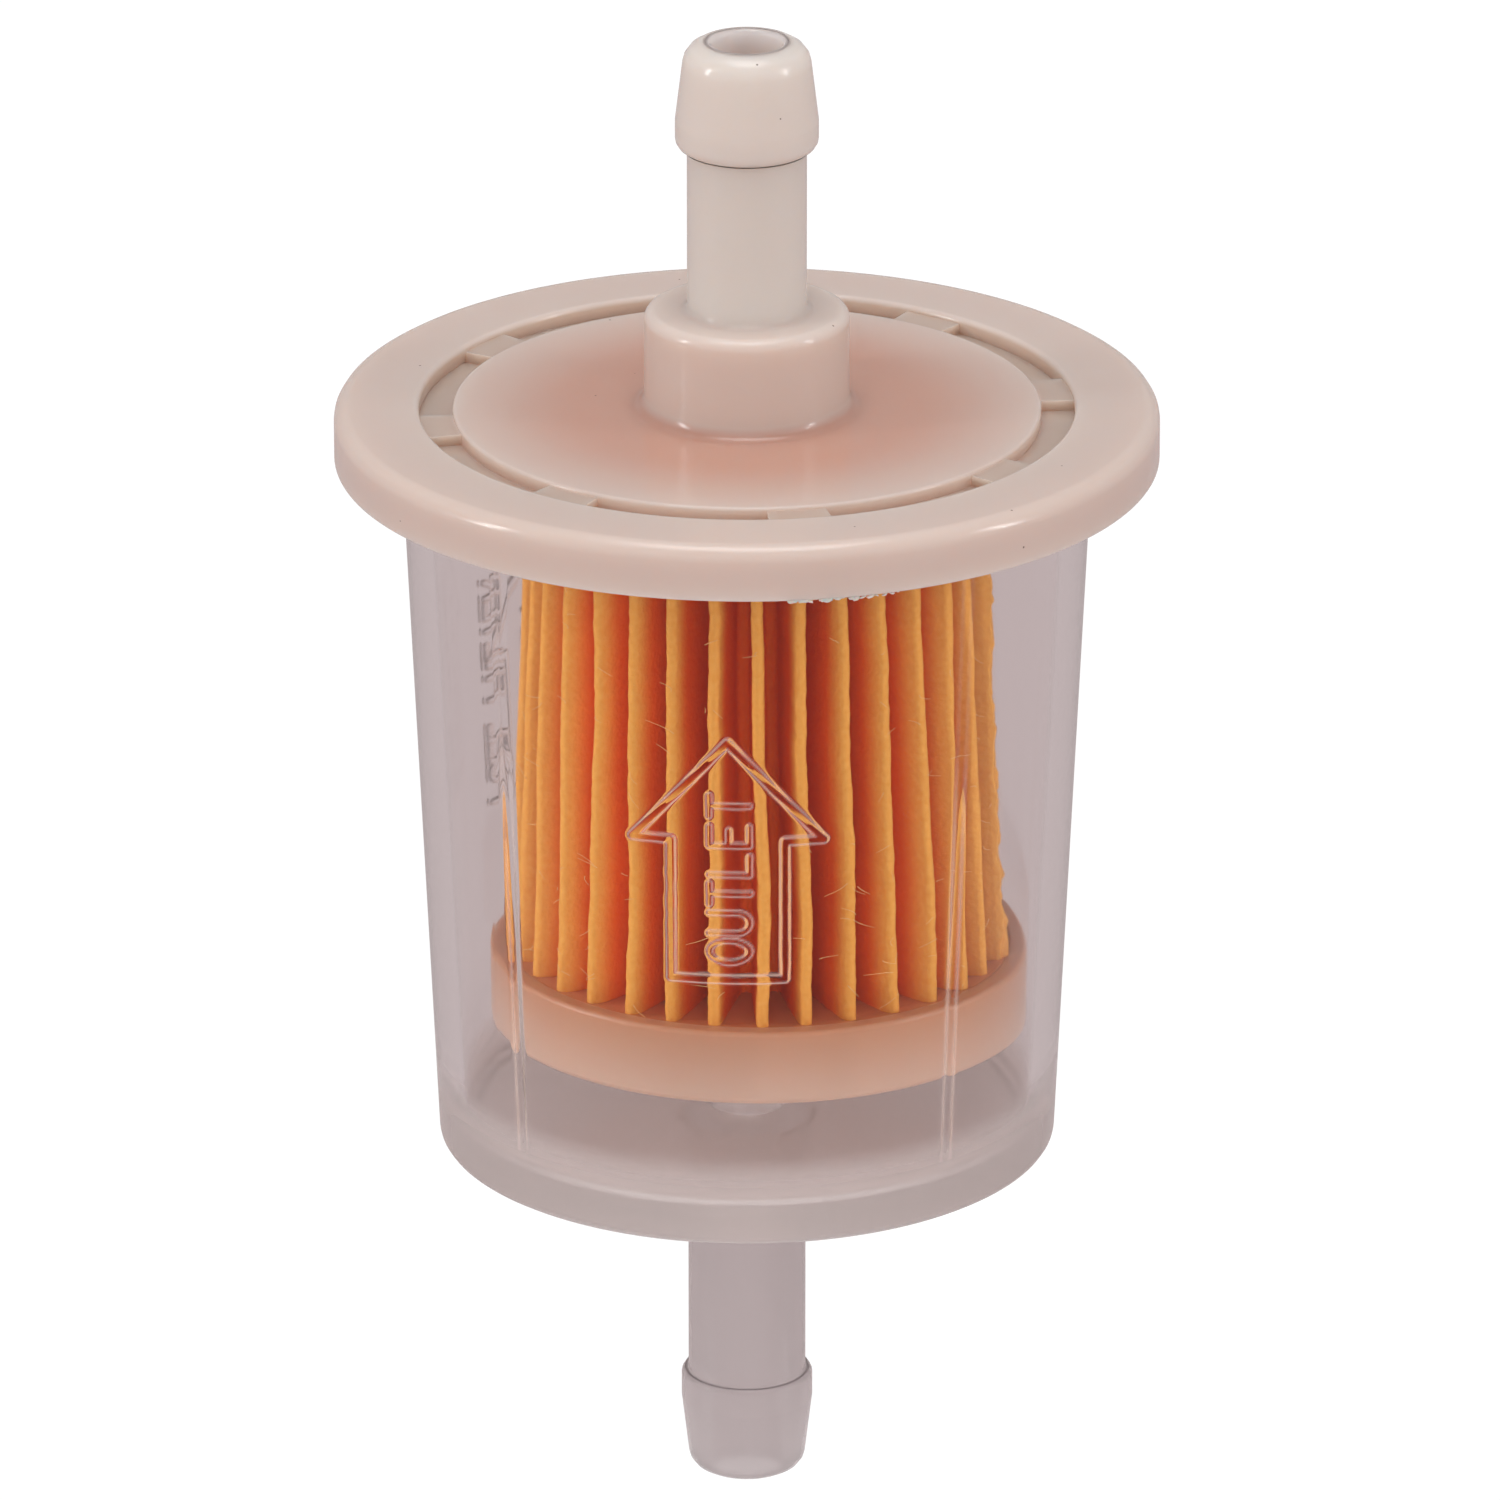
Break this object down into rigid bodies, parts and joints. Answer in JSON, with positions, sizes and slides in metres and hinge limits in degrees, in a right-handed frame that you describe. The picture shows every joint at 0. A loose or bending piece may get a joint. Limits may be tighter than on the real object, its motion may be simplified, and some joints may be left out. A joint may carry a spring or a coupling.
{
  "type": "inline fuel filter",
  "caption": "Clear-bowl in-line fuel filter with a milky flanged cap, hose barbs at both ends and an orange pleated paper element inside.",
  "frame": {"origin": "tip of the inlet spigot, on the filter's axis", "axes": "+Z along the flow, from the inlet spigot at the bottom to the outlet spigot on the cap; the moulded flow arrow faces -Y"},
  "size_m": [0.0456, 0.0456, 0.085],
  "materials": {
    "cap_nylon": "milky natural nylon, satin gloss",
    "bowl_nylon": "clear, slightly hazy moulded nylon",
    "filter_paper": "resin-impregnated pleated paper, fibrous",
    "end_cap_nylon": "milky moulded nylon with the paper's colour showing through",
    "bonding_resin": "cured amber bonding resin",
    "seam_adhesive": "resin-soaked glue line",
    "weld_nylon": "re-melted nylon"
  },
  "bodies": {
    "root": {"cap": "cap_nylon", "bowl": "bowl_nylon", "pleated_media": "filter_paper", "element_end_cap": "end_cap_nylon", "upper_bond_ring": "bonding_resin", "lower_bond_disc": "bonding_resin", "pleat_seam_bond": "seam_adhesive", "spin_weld_bead": "weld_nylon"}
  },
  "joints": []
}
